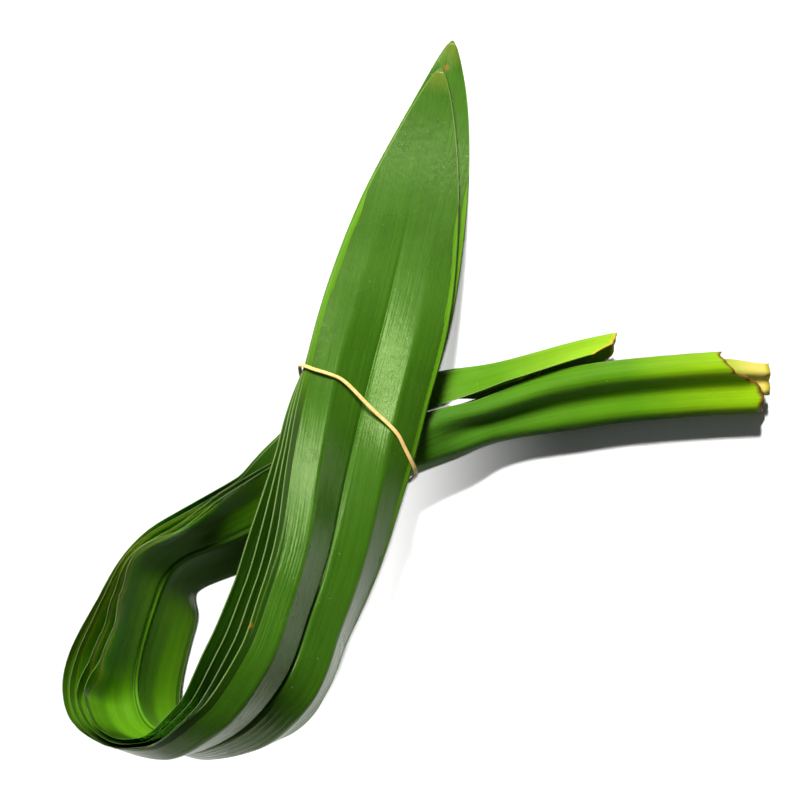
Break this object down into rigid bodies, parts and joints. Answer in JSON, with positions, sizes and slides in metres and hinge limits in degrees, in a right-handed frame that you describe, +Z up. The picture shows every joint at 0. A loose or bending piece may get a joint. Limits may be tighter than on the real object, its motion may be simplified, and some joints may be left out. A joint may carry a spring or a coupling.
{
  "type": "pandan leaf bunch",
  "caption": "Bunch of long pleated pandan leaves that lies on a table, curled through a standing loop and tied by a rubber band where it crosses its own cut bases.",
  "frame": {"origin": "middle of the bunch's outline seen from above, on the surface that it lies on", "axes": "+Z up, +Y towards the leaf tips, +X towards the cut leaf bases"},
  "size_m": [0.2618, 0.2929, 0.08],
  "materials": {
    "leaf": "waxy leaf, satin to glossy",
    "rubber_band": "smooth natural rubber"
  },
  "bodies": {
    "root": {"leaf_1": "leaf", "leaf_2": "leaf", "leaf_3": "leaf", "leaf_4": "leaf", "rubber_band": "rubber_band"}
  },
  "joints": []
}
